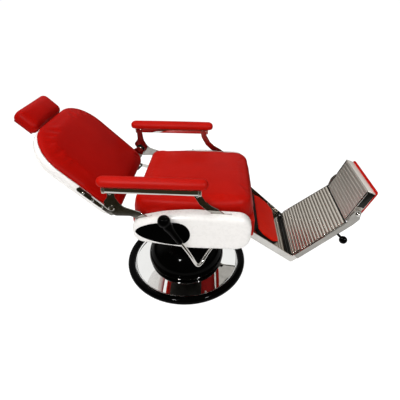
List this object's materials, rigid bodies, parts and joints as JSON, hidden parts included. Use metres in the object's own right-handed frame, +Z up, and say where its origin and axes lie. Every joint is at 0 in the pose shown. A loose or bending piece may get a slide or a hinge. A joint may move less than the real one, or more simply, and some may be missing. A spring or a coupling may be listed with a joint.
{
  "type": "hydraulic barber chair",
  "caption": "Reclining hydraulic barber chair with padded seat, back, headrest and arms, raised leg rest, ribbed foot plate and flap, side lever and round base.",
  "frame": {"origin": "centre of the round base, on the floor", "axes": "+X from the back towards the feet, +Y to the sitter's left, +Z up"},
  "size_m": [1.6418, 0.7682, 0.9625],
  "materials": {
    "red_leather": "satin, fine grain",
    "white_shell": "gloss",
    "black_gloss": "high gloss",
    "black_rubber": "matte",
    "chrome": "mirror",
    "ribbed_metal": "bright, ribbed",
    "dark_steel": "satin black",
    "plywood": "raw"
  },
  "bodies": {
    "base": {"base_disc": "chrome", "base_ring": "black_gloss", "pump_cover": "black_gloss", "pump_cylinder": "dark_steel"},
    "lift": {"lift_piston": "chrome"},
    "seat": {"swivel_housing": "dark_steel", "mount_plate": "dark_steel", "seat_rail_right": "dark_steel", "seat_rail_left": "dark_steel", "rear_cross_tube": "chrome", "leg_pivot_shaft": "chrome", "seat_base": "plywood", "seat_cushion": "red_leather", "side_shell_right": "white_shell", "side_shell_left": "white_shell", "side_inset_right": "black_gloss", "side_inset_left": "black_gloss", "arm_bracket_right": "chrome", "arm_bracket_left": "chrome", "arm_strut_right": "chrome", "arm_strut_left": "chrome", "arm_channel_right": "chrome", "arm_channel_left": "chrome", "arm_pad_right": "red_leather", "arm_pad_left": "red_leather", "back_pin_right": "chrome", "back_pin_left": "chrome", "lever_bearing": "dark_steel"},
    "backrest": {"back_cushion": "red_leather", "back_board": "plywood", "back_shell": "white_shell", "back_bracket_right": "dark_steel", "back_bracket_left": "dark_steel", "back_crank": "dark_steel", "headrest_guide": "dark_steel"},
    "headrest_slide": {"headrest_bar": "chrome"},
    "headrest": {"headrest_bracket": "chrome", "headrest_board": "plywood", "headrest_cushion": "red_leather"},
    "legrest": {"leg_rail_right": "chrome", "leg_rail_left": "chrome", "leg_panel": "chrome", "knee_bar": "chrome", "calf_pad": "red_leather", "foot_plate": "ribbed_metal", "foot_rail_right": "ribbed_metal", "foot_rail_left": "ribbed_metal", "foot_bumper_right": "black_rubber", "foot_bumper_left": "black_rubber", "flap_bolt_right": "chrome", "flap_bolt_left": "chrome"},
    "foot_flap": {"flap_tray": "ribbed_metal", "flap_pad": "red_leather"},
    "recline_link": {"recline_rod": "chrome"},
    "lift_lever": {"lever_rod": "chrome", "lever_grip": "black_gloss"},
    "recline_release": {"release_lever": "black_gloss"}
  },
  "joints": [
    {"name": "seat_lift", "type": "slide", "parent": "base", "child": "lift", "axis": [0, 0, 1], "range_m": [0, 0.15]},
    {"name": "seat_swivel", "type": "hinge", "parent": "lift", "child": "seat", "pos_m": [0, 0, 0.33], "axis": [0, 0, 1], "continuous": true},
    {"name": "back_recline", "type": "hinge", "parent": "seat", "child": "backrest", "pos_m": [-0.29, 0, 0.59], "axis": [0, 1, 0], "range_deg": [0, 38]},
    {"name": "legrest_swing", "type": "hinge", "parent": "seat", "child": "legrest", "pos_m": [0.295, 0, 0.443], "axis": [0, 1, 0], "range_deg": [0, 38]},
    {"name": "recline_link_turn", "type": "hinge", "parent": "backrest", "child": "recline_link", "pos_m": [-0.29, 0.25, 0.51], "axis": [0, 1, 0], "range_deg": [-38, 0]},
    {"name": "headrest_height", "type": "slide", "parent": "backrest", "child": "headrest_slide", "axis": [-0.7133, 0, 0.7009], "range_m": [0, 0.08]},
    {"name": "headrest_tilt", "type": "hinge", "parent": "headrest_slide", "child": "headrest", "pos_m": [-0.7093, 0, 0.8723], "axis": [0, 1, 0], "range_deg": [-35, 0]},
    {"name": "foot_flap_turn", "type": "hinge", "parent": "legrest", "child": "foot_flap", "pos_m": [0.837, 0, 0.507], "axis": [0, 1, 0], "range_deg": [-115, 0]},
    {"name": "lift_lever_stroke", "type": "hinge", "parent": "seat", "child": "lift_lever", "pos_m": [0.19, -0.21, 0.395], "axis": [0, 1, 0], "range_deg": [-12, 15], "stiffness_Nm_per_rad": 20, "springref_deg": 2.69},
    {"name": "recline_release_pull", "type": "hinge", "parent": "seat", "child": "recline_release", "pos_m": [-0.03, 0.345, 0.49], "axis": [0, 1, 0], "range_deg": [-25, 0], "stiffness_Nm_per_rad": 0.5}
  ],
  "couplings": [
    {"joint": "legrest_swing", "follows": "back_recline", "ratio": 1},
    {"joint": "recline_link_turn", "follows": "back_recline", "ratio": -1}
  ]
}
